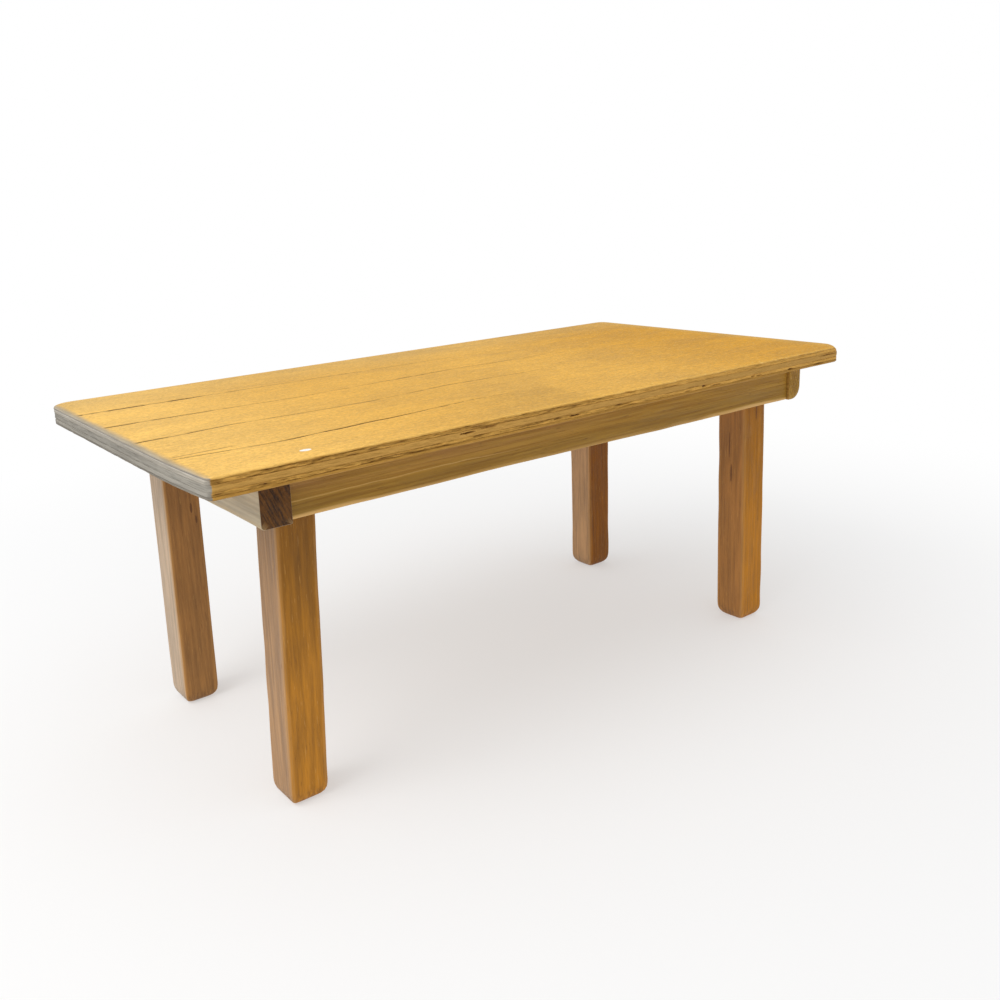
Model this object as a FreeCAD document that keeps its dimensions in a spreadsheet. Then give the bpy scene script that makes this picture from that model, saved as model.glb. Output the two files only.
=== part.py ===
import FreeCAD, Part
import os
import Sketcher

# A miniature dining table, in millimetres. A plywood top, scored on its face into five planks, lies on a
# frame of four aprons. The end aprons run past the long ones, so their end grain shows at the front and the
# back. Each of the four square legs is glued behind a long apron and, being set by hand, leans a little its
# own way. The left legs also meet the left apron, but the right legs stand clear of the right one.
#
# The origin is on the floor under the middle of the top. +X runs along the table, the front is -Y, +Z is up.

DIMENSIONS = {
    "top_length": 302.0,
    "top_width": 150.0,
    "table_height": 127.0,
    "top_thickness": 6.8,
    # The core takes what these four plies leave of the top's thickness.
    "face_ply": 0.8,
    "upper_crossband": 1.5,
    "lower_crossband": 1.4,
    "back_ply": 1.0,
    "front_left_corner_radius": 4.0,
    "front_right_corner_radius": 6.5,
    "back_left_corner_radius": 9.0,
    "back_right_corner_radius": 4.5,
    "top_arris_radius": 0.6,
    "plank_pitch": 29.4,
    "plank_shift": -1.6,
    "score_width": 0.7,
    "score_depth": 0.5,
    "apron_height": 14.8,
    "left_apron_thickness": 10.6,
    "left_apron_from_end": 19.7,
    "left_apron_from_side": 8.0,
    "right_apron_thickness": 8.0,
    "right_apron_from_end": 16.4,
    "right_apron_from_side": 10.0,
    "long_apron_thickness": 8.7,
    "front_apron_from_side": 11.2,
    "back_apron_from_side": 9.2,
    "worn_arris_radius": 1.5,
    "right_apron_arris_radius": 6.0,
    "leg_side": 14.5,
    # The right legs stand this far short of the right apron.
    "right_leg_gap": 3.4,
    "leg_arris_radius": 1.0,
    "foot_radius": 2.5,
    # How far each foot stands from under the leg's upper end, along X and Y.
    "front_left_lean_x": -1.6,
    "front_left_lean_y": 4.7,
    "front_right_lean_x": 1.6,
    "front_right_lean_y": -0.8,
    "back_left_lean_x": -1.3,
    "back_left_lean_y": -0.2,
    "back_right_lean_x": -1.2,
    "back_right_lean_y": -1.5,
}

LEG_LENGTH = "(dims.table_height - dims.top_thickness)"
APRON_FLOOR = "(dims.table_height - dims.top_thickness - dims.apron_height)"
# How far the inner faces of the aprons are from the middle of the top.
LEFT_INSIDE = "(dims.top_length / 2 - dims.left_apron_from_end - dims.left_apron_thickness)"
RIGHT_INSIDE = "(dims.top_length / 2 - dims.right_apron_from_end - dims.right_apron_thickness)"
FRONT_INSIDE = "(dims.top_width / 2 - dims.front_apron_from_side - dims.long_apron_thickness)"
BACK_INSIDE = "(dims.top_width / 2 - dims.back_apron_from_side - dims.long_apron_thickness)"
PLANK_COUNT = 5
LEFT, RIGHT, FRONT, BACK = -1, 1, -1, 1
CORNER_RADII = {
    (LEFT, FRONT): "dims.front_left_corner_radius",
    (RIGHT, FRONT): "dims.front_right_corner_radius",
    (LEFT, BACK): "dims.back_left_corner_radius",
    (RIGHT, BACK): "dims.back_right_corner_radius",
}

# Sketcher's numbers for a line's two ends, and for the horizontal axis, which starts at the sketch's origin.
START, END = 1, 2
ORIGIN_POINT = -1
# Two levels closer than this are the same.
TOUCH = 0.001
# An edge is upright if its rise is more than this share of its length, so that a leaning leg's arrises count.
UPRIGHT_SHARE = 0.9


def make_sheet(doc):
    sheet = doc.addObject("Spreadsheet::Sheet", "dims")
    for row, (alias, value) in enumerate(DIMENSIONS.items(), start=1):
        sheet.set(f"A{row}", alias)
        sheet.set(f"B{row}", str(value))
        sheet.setAlias(f"B{row}", alias)
    doc.recompute()


def make_body(doc, label, x="0", y="0", z="0"):
    """A body whose own origin is placed at the expressions x, y and z."""
    body = doc.addObject("PartDesign::Body", label)
    body.Label = label
    for axis, place in zip("xyz", (x, y, z)):
        body.setExpression(f"Placement.Base.{axis}", f"({place}) * 1 mm")
    return body


def origin_feature(body, role):
    return next(feature for feature in body.Origin.OriginFeatures if feature.Role == role)


def sketch_on(body, name, plane):
    sketch = body.newObject("Sketcher::SketchObject", name)
    sketch.AttachmentSupport = [(origin_feature(body, plane), "")]
    sketch.MapMode = "FlatFace"
    return sketch


def add_polygon(sketch, points):
    """A closed ring of lines. Line number k runs from point k to the next one."""
    corners = [FreeCAD.Vector(x, y, 0) for x, y in points]
    for start, end in zip(corners, corners[1:] + corners[:1]):
        sketch.addGeometry(Part.LineSegment(start, end))
    for line in range(len(corners)):
        sketch.addConstraint(Sketcher.Constraint("Coincident", line, END, (line + 1) % len(corners), START))


def name_distance(sketch, kind, points, name, expression):
    """A DistanceX or DistanceY constraint from one point to another, named and bound to the sheet."""
    index = sketch.addConstraint(Sketcher.Constraint(kind, *points, 1.0))
    sketch.renameConstraint(index, name)
    sketch.setExpression(f"Constraints.{name}", f"({expression}) * 1 mm")


def centred_rectangle(body, name, width, depth):
    """A rectangle on the body's XY plane, centred on its origin, with its sides along X and Y."""
    sketch = sketch_on(body, name, "XY_Plane")
    add_polygon(sketch, [(-1, -1), (1, -1), (1, 1), (-1, 1)])
    for line, direction in enumerate(("Horizontal", "Vertical", "Horizontal", "Vertical")):
        sketch.addConstraint(Sketcher.Constraint(direction, line))
    sketch.addConstraint(Sketcher.Constraint("Symmetric", 0, START, 2, START, ORIGIN_POINT, START))
    name_distance(sketch, "DistanceX", (0, START, 0, END), "width", width)
    name_distance(sketch, "DistanceY", (1, START, 1, END), "depth", depth)
    return sketch


def pad_up(body, sketch, height):
    pad = body.newObject("PartDesign::Pad", "pad")
    pad.Profile = sketch
    pad.setExpression("Length", f"({height}) * 1 mm")
    body.Document.recompute()
    return pad


def round_edges(body, base, wanted, radius):
    """Rounds the edges of the base feature that the test wanted(edge) picks."""
    names = [f"Edge{n}" for n, edge in enumerate(base.Shape.Edges, start=1) if wanted(edge)]
    fillet = body.newObject("PartDesign::Fillet", "fillet")
    fillet.Base = (base, names)
    fillet.setExpression("Radius", f"({radius}) * 1 mm")
    body.Document.recompute()
    return fillet


def is_upright(edge):
    return edge.BoundBox.ZLength > UPRIGHT_SHARE * edge.Length


def is_upright_towards(end, side):
    """A test for upright edges in one quarter of the body: towards an end and a side, each -1 or 1."""
    return lambda edge: is_upright(edge) and edge.CenterOfMass.x * end > 0 and edge.CenterOfMass.y * side > 0


def is_level_at(z):
    """A test for edges that lie at height z of the body's own frame."""
    return lambda edge: abs(edge.BoundBox.ZMin - z) < TOUCH and abs(edge.BoundBox.ZMax - z) < TOUCH


def make_ply(doc, label, thickness, under):
    """One veneer of the top, with the top's outline. under is how deep it lies below the top's face.
    Returns its body and its last feature."""
    body = make_body(doc, label, z=f"dims.table_height - ({under}) - ({thickness})")
    outline = centred_rectangle(body, "outline", "dims.top_length", "dims.top_width")
    sheet_of_wood = pad_up(body, outline, thickness)

    rounded = sheet_of_wood
    for (end, side), radius in CORNER_RADII.items():
        rounded = round_edges(body, rounded, is_upright_towards(end, side), radius)
    return body, rounded


def score_planks(body, face):
    """Cuts the V-shaped score lines that divide the face ply into planks, evenly pitched along Y."""
    sketch = sketch_on(body, "score", "YZ_Plane")
    add_polygon(sketch, [(-1, 1), (1, 1), (0, -1)])
    sketch.addConstraint(Sketcher.Constraint("Horizontal", 0))
    mouth_left, mouth_right, bottom, origin = (0, START), (0, END), (2, START), (ORIGIN_POINT, START)
    front_line_to_middle = f"dims.plank_pitch * {(PLANK_COUNT - 2) / 2} - dims.plank_shift"
    half_width = "dims.score_width / 2"
    name_distance(sketch, "DistanceX", bottom + origin, "place", front_line_to_middle)
    name_distance(sketch, "DistanceX", mouth_left + bottom, "left_half", half_width)
    name_distance(sketch, "DistanceX", bottom + mouth_right, "right_half", half_width)
    name_distance(sketch, "DistanceY", origin + mouth_left, "level", "dims.face_ply")
    name_distance(sketch, "DistanceY", bottom + mouth_left, "depth", "dims.score_depth")

    pocket = body.newObject("PartDesign::Pocket", "score_line")
    pocket.Profile = sketch
    pocket.Type = "ThroughAll"
    pocket.SideType = "Symmetric"
    body.Document.recompute()
    must_shrink(face.Shape, pocket.Shape, "the first score line")

    lines = body.newObject("PartDesign::LinearPattern", "score_lines")
    lines.Originals = [pocket]
    lines.Direction = (origin_feature(body, "Y_Axis"), [""])
    lines.setExpression("Length", f"dims.plank_pitch * {PLANK_COUNT - 2} * 1 mm")
    lines.Occurrences = PLANK_COUNT - 1
    body.Tip = lines
    body.Document.recompute()
    must_shrink(pocket.Shape, lines.Shape, "the other score lines")


def must_shrink(before, after, what):
    if after.Volume >= before.Volume:
        raise RuntimeError(f"{what} cut nothing")


def make_top(doc):
    """The five plies of the top, from its face down to its back."""
    face_body, face = make_ply(doc, "top_face_ply", "dims.face_ply", "0")
    face_level = DIMENSIONS["face_ply"]
    softened = round_edges(face_body, face, is_level_at(face_level), "dims.top_arris_radius")
    score_planks(face_body, softened)

    upper = "dims.face_ply + dims.upper_crossband"
    lower = "dims.lower_crossband + dims.back_ply"
    core = f"dims.top_thickness - ({upper}) - ({lower})"
    back_depth = "dims.top_thickness - dims.back_ply"
    bodies = [face_body]
    bodies.append(make_ply(doc, "top_upper_crossband", "dims.upper_crossband", "dims.face_ply")[0])
    bodies.append(make_ply(doc, "top_core_ply", core, upper)[0])
    bodies.append(make_ply(doc, "top_lower_crossband", "dims.lower_crossband", f"{upper} + {core}")[0])
    back_body, back = make_ply(doc, "top_back_ply", "dims.back_ply", back_depth)
    round_edges(back_body, back, is_level_at(0), "dims.top_arris_radius")
    return bodies + [back_body]


def make_end_apron(doc, end, side, radius):
    """A short apron under the left or right end of the top. Its outer lower arris is worn round."""
    thickness = f"dims.{end}_apron_thickness"
    from_end = f"(dims.{end}_apron_from_end + {thickness} / 2)"
    body = make_body(doc, f"apron_{end}", x=f"{side} * (dims.top_length / 2 - {from_end})", z=APRON_FLOOR)
    length = f"dims.top_width - 2 * dims.{end}_apron_from_side"
    block = pad_up(body, centred_rectangle(body, "plan", thickness, length), "dims.apron_height")

    def is_outer_lower(edge):
        return is_level_at(0)(edge) and edge.BoundBox.XLength < TOUCH and edge.CenterOfMass.x * side > 0

    round_edges(body, block, is_outer_lower, radius)
    return body


def make_long_apron(doc, long_side, side):
    """The apron along the front or the back, fitted between the end aprons."""
    from_side = f"(dims.{long_side}_apron_from_side + dims.long_apron_thickness / 2)"
    x = f"({RIGHT_INSIDE} - {LEFT_INSIDE}) / 2"
    y = f"{side} * (dims.top_width / 2 - {from_side})"
    body = make_body(doc, f"apron_{long_side}", x=x, y=y, z=APRON_FLOOR)
    section = centred_rectangle(body, "plan", f"{RIGHT_INSIDE} + {LEFT_INSIDE}", "dims.long_apron_thickness")
    block = pad_up(body, section, "dims.apron_height")

    def is_outer_lower(edge):
        return is_level_at(0)(edge) and edge.BoundBox.YLength < TOUCH and edge.CenterOfMass.y * side > 0

    round_edges(body, block, is_outer_lower, "dims.worn_arris_radius")
    return body


def make_leg(doc, corner, x, y):
    """A square leg in one corner of the frame, drawn down from the middle of its upper end, its body's origin.
    x and y are the places of that middle."""
    body = make_body(doc, f"leg_{corner}", x=x, y=y, z=LEG_LENGTH)
    shaft = body.newObject("PartDesign::Pad", "shaft")
    shaft.Profile = centred_rectangle(body, "upper_end", "dims.leg_side", "dims.leg_side")
    shaft.UseCustomVector = True
    shaft.setExpression("Direction.x", f"dims.{corner}_lean_x")
    shaft.setExpression("Direction.y", f"dims.{corner}_lean_y")
    shaft.setExpression("Direction.z", f"-{LEG_LENGTH}")
    shaft.AlongSketchNormal = True
    shaft.setExpression("Length", f"{LEG_LENGTH} * 1 mm")
    doc.recompute()

    foot_level = shaft.Shape.BoundBox.ZMin
    planed = round_edges(body, shaft, is_upright, "dims.leg_arris_radius")
    round_edges(body, planed, is_level_at(foot_level), "dims.foot_radius")
    return body


def make_legs(doc):
    left = f"dims.leg_side / 2 - {LEFT_INSIDE}"
    right = f"{RIGHT_INSIDE} - dims.right_leg_gap - dims.leg_side / 2"
    front = f"dims.leg_side / 2 - {FRONT_INSIDE}"
    back = f"{BACK_INSIDE} - dims.leg_side / 2"
    return [
        make_leg(doc, "front_left", left, front),
        make_leg(doc, "front_right", right, front),
        make_leg(doc, "back_left", left, back),
        make_leg(doc, "back_right", right, back),
    ]


def check(doc, bodies):
    for thing in doc.Objects:
        if {"Invalid", "Error"} & set(thing.State):
            raise RuntimeError(f"{thing.Label} failed to compute: {thing.State}")
    for body in bodies:
        if body.Shape.isNull() or not body.Shape.isValid() or len(body.Shape.Solids) != 1:
            raise RuntimeError(f"{body.Label} isn't one valid solid")


def main():
    doc = FreeCAD.newDocument("miniature_dining_table")
    make_sheet(doc)
    bodies = make_top(doc)
    bodies.append(make_end_apron(doc, "left", LEFT, "dims.worn_arris_radius"))
    bodies.append(make_end_apron(doc, "right", RIGHT, "dims.right_apron_arris_radius"))
    bodies.append(make_long_apron(doc, "front", FRONT))
    bodies.append(make_long_apron(doc, "back", BACK))
    bodies += make_legs(doc)
    doc.recompute()
    check(doc, bodies)

    os.makedirs("parts", exist_ok=True)
    for body in bodies:
        body.Shape.exportStep(f"parts/{body.Label}.step")


main()
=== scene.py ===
"""A miniature dining table: a scored plywood top on a stained frame of four aprons and four legs.

Each CAD node is replaced by a mesh of the same piece that adds what the photo shows: torn ply edges,
hand-cut score lines, worn arrises and rounded feet. Shapes are worked out in millimetres from the boxes of
the CAD nodes, then written into the meshes in metres. X runs along the table, Y front to back, Z up.
"""

import itertools
import math

import bmesh
import bpy
import numpy as np
from mathutils import Euler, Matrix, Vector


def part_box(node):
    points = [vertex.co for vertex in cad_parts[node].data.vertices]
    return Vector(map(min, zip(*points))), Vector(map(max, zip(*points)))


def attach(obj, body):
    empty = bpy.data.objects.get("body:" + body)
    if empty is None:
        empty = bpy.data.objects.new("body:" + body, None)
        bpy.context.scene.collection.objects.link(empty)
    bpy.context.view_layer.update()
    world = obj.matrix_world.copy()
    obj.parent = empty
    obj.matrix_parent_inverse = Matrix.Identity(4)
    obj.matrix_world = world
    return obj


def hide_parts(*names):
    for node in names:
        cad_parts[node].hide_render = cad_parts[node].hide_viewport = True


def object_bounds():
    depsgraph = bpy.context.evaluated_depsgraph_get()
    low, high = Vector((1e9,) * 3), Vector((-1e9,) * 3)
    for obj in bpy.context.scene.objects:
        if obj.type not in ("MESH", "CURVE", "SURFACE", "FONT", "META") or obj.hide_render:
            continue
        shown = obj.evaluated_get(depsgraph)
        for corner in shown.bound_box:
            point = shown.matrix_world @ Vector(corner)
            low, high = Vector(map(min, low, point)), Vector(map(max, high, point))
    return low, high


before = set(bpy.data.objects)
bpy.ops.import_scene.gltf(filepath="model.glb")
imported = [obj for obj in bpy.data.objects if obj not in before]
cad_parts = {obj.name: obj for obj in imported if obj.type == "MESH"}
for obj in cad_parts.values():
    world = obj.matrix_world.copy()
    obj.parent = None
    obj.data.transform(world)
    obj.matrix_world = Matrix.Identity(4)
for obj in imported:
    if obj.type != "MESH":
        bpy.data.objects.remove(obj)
cad_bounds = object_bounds()

# ------------------------------------------------------------------------------------------------------------
# Sizes, in millimetres
# ------------------------------------------------------------------------------------------------------------

MM = 0.001
ROOT = "root"

# Corner radii of the top: front left, front right, back right, back left.
TOP_RADII = (2.0, 6.5, 4.5, 9.0)
# The front right corner was sanded over from above, so the face ply is rounder there.
FACE_RADII = (2.0, 9.0, 4.5, 9.0)
# How far the left end was sanded back at its front corner, and how far from that corner the sanding starts.
LEFT_SANDING = 1.6
LEFT_SANDING_REACH = 40.0
TOP_ARRIS = 0.6
WORN_ARRIS = 1.5
RIGHT_APRON_ARRIS = 5.0
# How much deeper the apron gets towards its right end, and between which places along the table.
APRON_DEEPENING = 0.9
DEEPENING_SPAN = (-40.0, 90.0)
SHARP_ARRIS = 0.4
LEG_ARRIS = 1.0
LEG_SIDE = 14.5
# The right legs stand this far short of the right apron.
RIGHT_LEG_GAP = 3.4
# How high and how far in a foot, or a square-cut end, is rounded.
ROUND_FOOT = (6.0, 3.0)
CUT_END = (0.4, 0.4)

PLANK_PITCH = 29.4
PLANK_SHIFT = -1.6
SCORE_DEPTH = 0.5


def box_mm(node):
    """The lowest and highest corner of a CAD node, in millimetres."""
    low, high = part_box(node)
    return np.array(low) / MM, np.array(high) / MM


TABLE_LOW, TABLE_HIGH = (np.array(corner) / MM for corner in cad_bounds)

# ------------------------------------------------------------------------------------------------------------
# Noise and small curves
# ------------------------------------------------------------------------------------------------------------

WORD = np.uint64(0xFFFFFFFF)
STIR = np.uint64(0x9E3779B1)
HALF_WORD = np.uint64(15)


def lattice_value(seed, cells):
    """A fixed number from -1 to 1 for each whole-number point of the lattice."""
    mixed = np.full(cells[0].shape, seed, dtype=np.uint64)
    for cell in cells:
        mixed = (mixed ^ (cell.astype(np.int64).astype(np.uint64) & WORD)) * STIR & WORD
        mixed ^= mixed >> HALF_WORD
    mixed = mixed * STIR & WORD
    mixed ^= mixed >> HALF_WORD
    return mixed.astype(float) / float(WORD) * 2 - 1


def noise(seed, *coords):
    """Smooth noise from -1 to 1 that changes over about one unit of each coordinate."""
    coords = np.broadcast_arrays(*[np.asarray(c, dtype=float) for c in coords])
    cells = [np.floor(c) for c in coords]
    eased = [smooth_step(c - cell, 0, 1) for c, cell in zip(coords, cells)]
    total = np.zeros(coords[0].shape)
    for corner in itertools.product((0, 1), repeat=len(coords)):
        weight = np.ones(coords[0].shape)
        for side, share in zip(corner, eased):
            weight = weight * (share if side else 1 - share)
        total += weight * lattice_value(seed, [cell + side for cell, side in zip(cells, corner)])
    return total


def smooth_step(value, start, end):
    """0 before start, 1 after end, with an eased rise between them."""
    share = np.clip((np.asarray(value, dtype=float) - start) / (end - start), 0, 1)
    return share * share * (3 - 2 * share)


def rounded_outline(low, high, radii, x_shares, y_shares, arc_points):
    """Points round a rectangle with rounded corners, and the way out at each, anticlockwise from (low, low).

    radii are those of the corners in that order. The shares place the points of the straight sides.
    """
    corners = np.array([low, (high[0], low[1]), high, (low[0], high[1])], dtype=float)
    inward = np.array([(1, 1), (-1, 1), (-1, -1), (1, -1)], dtype=float)
    centres = corners + inward * np.array(radii)[:, None]
    points, ways = [], []
    for number in range(4):
        angles = math.pi + number * math.pi / 2 + np.linspace(0, math.pi / 2, arc_points)
        arc_ways = np.stack([np.cos(angles), np.sin(angles)], axis=1)
        arc = centres[number] + radii[number] * arc_ways
        following = (number + 1) % 4
        side_start = arc[-1]
        side_end = centres[following] + radii[following] * arc_ways[-1]
        shares = x_shares if number % 2 == 0 else y_shares
        if number > 1:
            shares = 1 - shares[::-1]
        side = side_start + (side_end - side_start) * shares[:, None]
        points += [arc, side]
        ways += [arc_ways, np.repeat(arc_ways[-1:], len(side), axis=0)]
    return np.concatenate(points), np.concatenate(ways)


# ------------------------------------------------------------------------------------------------------------
# Meshes
# ------------------------------------------------------------------------------------------------------------

SHARP_ANGLE = math.radians(38)


def add_piece(node, points, faces, marks, look):
    """Makes the mesh that stands for a CAD node. marks are numbers per point that its look reads."""
    mesh = bpy.data.meshes.new(node + "_shape")
    mesh.from_pydata((points * MM).tolist(), [], faces)
    for name, values in marks.items():
        mesh.attributes.new(name, "FLOAT", "POINT").data.foreach_set("value", np.asarray(values, dtype=float))
    shape = bmesh.new()
    shape.from_mesh(mesh)
    bmesh.ops.recalc_face_normals(shape, faces=shape.faces)
    shape.to_mesh(mesh)
    shape.free()
    mesh.polygons.foreach_set("use_smooth", [True] * len(mesh.polygons))
    mesh.set_sharp_from_angle(angle=SHARP_ANGLE)
    mesh.materials.append(look)
    piece = bpy.data.objects.new(node + "_piece", mesh)
    bpy.context.scene.collection.objects.link(piece)
    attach(piece, ROOT)
    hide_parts(node)
    return piece


def skin(loops, first_number=0):
    """Quads between each closed loop of points and the next; loops is how many, then points in each."""
    count, length = loops
    numbers = first_number + np.arange(count * length).reshape(count, length)
    onward = np.roll(numbers, -1, axis=1)
    quads = np.stack([numbers[:-1], onward[:-1], onward[1:], numbers[1:]], axis=-1)
    return quads.reshape(-1, 4).tolist()


# ------------------------------------------------------------------------------------------------------------
# The plies of the top
# ------------------------------------------------------------------------------------------------------------

EDGE_SPACING = 0.45
ROW_SPACING = 0.2
LEDGE = 1.5

# Dark gaps and chips in the front edge: where along the table, how high, how long, how tall, how deep.
FRONT_CHIPS = (
    (-140.5, 124.3, 9.0, 0.7, 0.3),
    (-133.0, 122.0, 7.0, 0.6, 0.3),
    (-118.0, 125.6, 12.0, 0.6, 0.15),
    (-88.0, 121.9, 14.0, 0.6, 0.2),
    (-60.0, 124.0, 6.0, 0.6, 0.8),
    (-51.0, 124.4, 8.0, 0.4, 0.5),
    (-20.4, 122.1, 4.0, 0.6, 0.5),
    (-12.0, 121.9, 6.0, 0.5, 0.5),
    (12.0, 122.2, 9.0, 0.6, 0.5),
    (47.5, 121.6, 4.0, 0.8, 0.5),
    (50.5, 122.9, 9.0, 0.35, 0.4),
    (57.0, 122.3, 3.0, 0.9, 0.55),
    (64.0, 121.7, 7.0, 0.6, 0.5),
    (87.3, 121.8, 2.5, 0.6, 0.5),
    (91.5, 121.7, 4.0, 0.4, 0.5),
    (112.8, 121.4, 3.5, 0.9, 0.55),
    (133.0, 121.0, 8.0, 0.8, 0.5),
    (140.0, 124.1, 14.0, 0.45, 0.6),
)


def faces_front_or_back(ways):
    """1 where an edge looks along Y and 0 where it looks along X."""
    return np.abs(ways[..., 1])


def chip_depth(points, ways):
    """How deep the named gaps and chips cut into the front edge."""
    x, z = points[..., 0], points[..., 2]
    depth = np.zeros(x.shape)
    for at_x, at_z, length, height, deep in FRONT_CHIPS:
        ragged = 0.35 * noise(71, x / 1.1, z / 0.3)
        away = ((x - at_x) / (length / 2)) ** 2 + ((z - at_z) / (height / 2)) ** 2
        depth = np.maximum(depth, deep * np.sqrt(np.clip(1 + ragged - away, 0, 1)))
    return depth * smooth_step(-ways[..., 1], 0.6, 0.9)


def torn_depth(points, seed):
    """How far sawn end grain is torn back: long ragged hollows with finer ones in them."""
    x, y, z = points[..., 0], points[..., 1], points[..., 2]
    long_tears = noise(seed, x / 4, y / 4, z / 0.5)
    short_tears = noise(seed + 1, x / 1.1, y / 1.1, z / 0.3)
    return 0.1 + 0.3 * np.clip(long_tears + 0.25, 0, 1) + 0.2 * np.clip(short_tears, 0, 1)


def planed_depth(points, seed):
    """How far a smoother edge waves in and out along its length."""
    x, y, z = points[..., 0], points[..., 1], points[..., 2]
    streaks = noise(seed + 2, x / 16, y / 16, z / 0.45)
    chatter = noise(seed + 3, x / 2.5, y / 2.5, z / 0.5)
    return 0.05 + 0.07 * np.clip(streaks, -0.5, 1) + 0.03 * chatter


SANDED_REACH = 9.0
SANDED_RADIUS = 2.8


def sanded_share(x, y):
    """1 at the sanded front right corner of the top, 0 beyond its reach."""
    return 1 - smooth_step(np.hypot(x - TABLE_HIGH[0], y - TABLE_LOW[1]), 3.0, SANDED_REACH)


def sanded_depth(points):
    """How far the sanding of the front right corner takes back the upper part of the edge."""
    above = np.clip(points[..., 2] - (TABLE_HIGH[2] - SANDED_RADIUS), 0, SANDED_RADIUS)
    rounding = SANDED_RADIUS - np.sqrt(SANDED_RADIUS**2 - above**2)
    return sanded_share(points[..., 0], points[..., 1]) * rounding


def sanded_left_end(points):
    """The points of a ply with its left end taken back, more and more towards its front corner."""
    towards_corner = np.clip((TABLE_LOW[1] + LEFT_SANDING_REACH - points[..., 1]) / LEFT_SANDING_REACH, 0, 1)
    near_end = 1 - smooth_step(points[..., 0], TABLE_LOW[0], TABLE_LOW[0] + LEFT_SANDING_REACH)
    moved = points.copy()
    moved[..., 0] += LEFT_SANDING * towards_corner**2 * near_end
    return moved


def edge_depth(points, ways, level_low, level_high, crossband, seed):
    """How far each point of a ply's edge lies inside the outline of the top."""
    end_grain = faces_front_or_back(ways) if crossband else 1 - faces_front_or_back(ways)
    tearing = 1.0 if crossband else 0.4
    fading = 1 - 0.45 * smooth_step(points[..., 0], -40, 90)
    depth = planed_depth(points, seed)
    depth = depth + end_grain * tearing * fading * torn_depth(points, seed)
    from_glue_line = np.minimum(points[..., 2] - level_low, level_high - points[..., 2])
    glue_line = 0.16 * (1 - smooth_step(from_glue_line, 0, 0.3))
    return np.clip(depth + glue_line + chip_depth(points, ways), 0.01, 1.6) + sanded_depth(points)


HOLLOW_RANGE = 0.75


def make_ply(node, look, crossband, seed):
    """One veneer of the top under the face: its torn or planed edge, with a flat face above and below."""
    low, high = box_mm(node)
    size = high - low
    x_shares = np.linspace(0, 1, int(size[0] / EDGE_SPACING))[1:-1]
    y_shares = np.linspace(0, 1, int(size[1] / EDGE_SPACING))[1:-1]
    outline, ways = rounded_outline(low[:2], high[:2], TOP_RADII, x_shares, y_shares, 11)
    levels = np.linspace(low[2], high[2], round(size[2] / ROW_SPACING) + 1)
    shape = (len(levels), len(outline))
    points = np.empty(shape + (3,))
    points[..., :2] = outline
    points[..., 2] = levels[:, None]
    row_ways = np.broadcast_to(ways, shape + (2,))
    depth = edge_depth(points, row_ways, low[2], high[2], crossband, seed)
    if node == "top_back_ply":
        depth = depth + 0.15 * (1 - smooth_step(points[..., 2], low[2], low[2] + 0.4))
    hollow = (depth - sanded_depth(points)) / HOLLOW_RANGE
    points[..., :2] -= row_ways * depth[..., None]
    under, over = points[0].copy(), points[-1].copy()
    under[:, :2] -= ways * LEDGE
    over[:, :2] -= ways * LEDGE
    all_points = sanded_left_end(np.concatenate([under[None], points, over[None]]))
    hollow = np.concatenate([np.zeros((1, shape[1])), hollow, np.zeros((1, shape[1]))])
    faces = skin(all_points.shape[:2])
    length = len(outline)
    faces.append(list(range(length)))
    faces.append(list(range(all_points.shape[0] * length - length, all_points.shape[0] * length)))
    marks = {"hollow": np.clip(hollow, 0, 1).ravel(), "wear_and_highlight": np.zeros(hollow.size)}
    return add_piece(node, all_points.reshape(-1, 3), faces, marks, look)


# ------------------------------------------------------------------------------------------------------------
# The face ply, with the scored lines
# ------------------------------------------------------------------------------------------------------------

COLUMN_SPACING = 0.8
PLAIN_ROW_SPACING = 1.6
SCORE_ROWS = (-1.4, -0.9, -0.62, -0.42, -0.2, 0.0, 0.2, 0.42, 0.62, 0.9, 1.4)
SCORE_STRIP = 1.8
WANDER_REACH = 9.0
CORNER_REACH = 16.0
SCORE_START = 2.2

# Half the width of each scored line, from front to back, how far it strays from its even place, and how strong
# it is, the last two at points along the table.
SCORE_LINES = (
    {
        "half_width": 0.62,
        "strays": ((-150, -1.8), (-135, -3.3), (-115, -4.6), (-90, -2.9), (-60, -1.1), (-33, 1.0), (-22, 0.5)),
        "strengths": ((-147, 0.42), (-115, 0.6), (-100, 0.7), (-85, 0.85), (-55, 0.65), (-40, 0.45), (0, 0)),
    },
    {
        "half_width": 0.75,
        "strays": ((-150, -1.7), (-115, 0.8), (-79, -1.4), (-60, -1.7), (-22, 2.7), (12, 0.3), (60, -0.4)),
        "strengths": ((-147, 1.0), (-130, 0.6), (-115, 0.5), (-85, 0.46), (-55, 0.3), (5, 0.32), (30, 0)),
    },
    {
        "half_width": 0.85,
        "strays": ((-150, 0.4), (-120, -0.3), (-75, -2.6), (-34, 0.0), (0, 1.4), (40, -0.5), (70, 0.4)),
        "strengths": ((-147, 0.7), (-115, 0.72), (-100, 0.38), (-70, 0.2), (-40, 0.32), (20, 0.36), (58, 0)),
    },
    {
        "half_width": 1.0,
        "strays": ((-150, 0.5), (-103, 0.5), (-60, -0.3), (0, -1.5), (40, -1.0), (70, -0.6)),
        "strengths": ((-147, 1.0), (-130, 0.95), (-115, 0.9), (-100, 0.4), (-70, 0.24), (0, 0.18), (62, 0)),
    },
)


def score_levels():
    """The even place across the table of each scored line, from the front one to the back one."""
    middle = (TABLE_LOW[1] + TABLE_HIGH[1]) / 2 + PLANK_SHIFT
    return middle + PLANK_PITCH * np.array((-1.5, -0.5, 0.5, 1.5))


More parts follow.
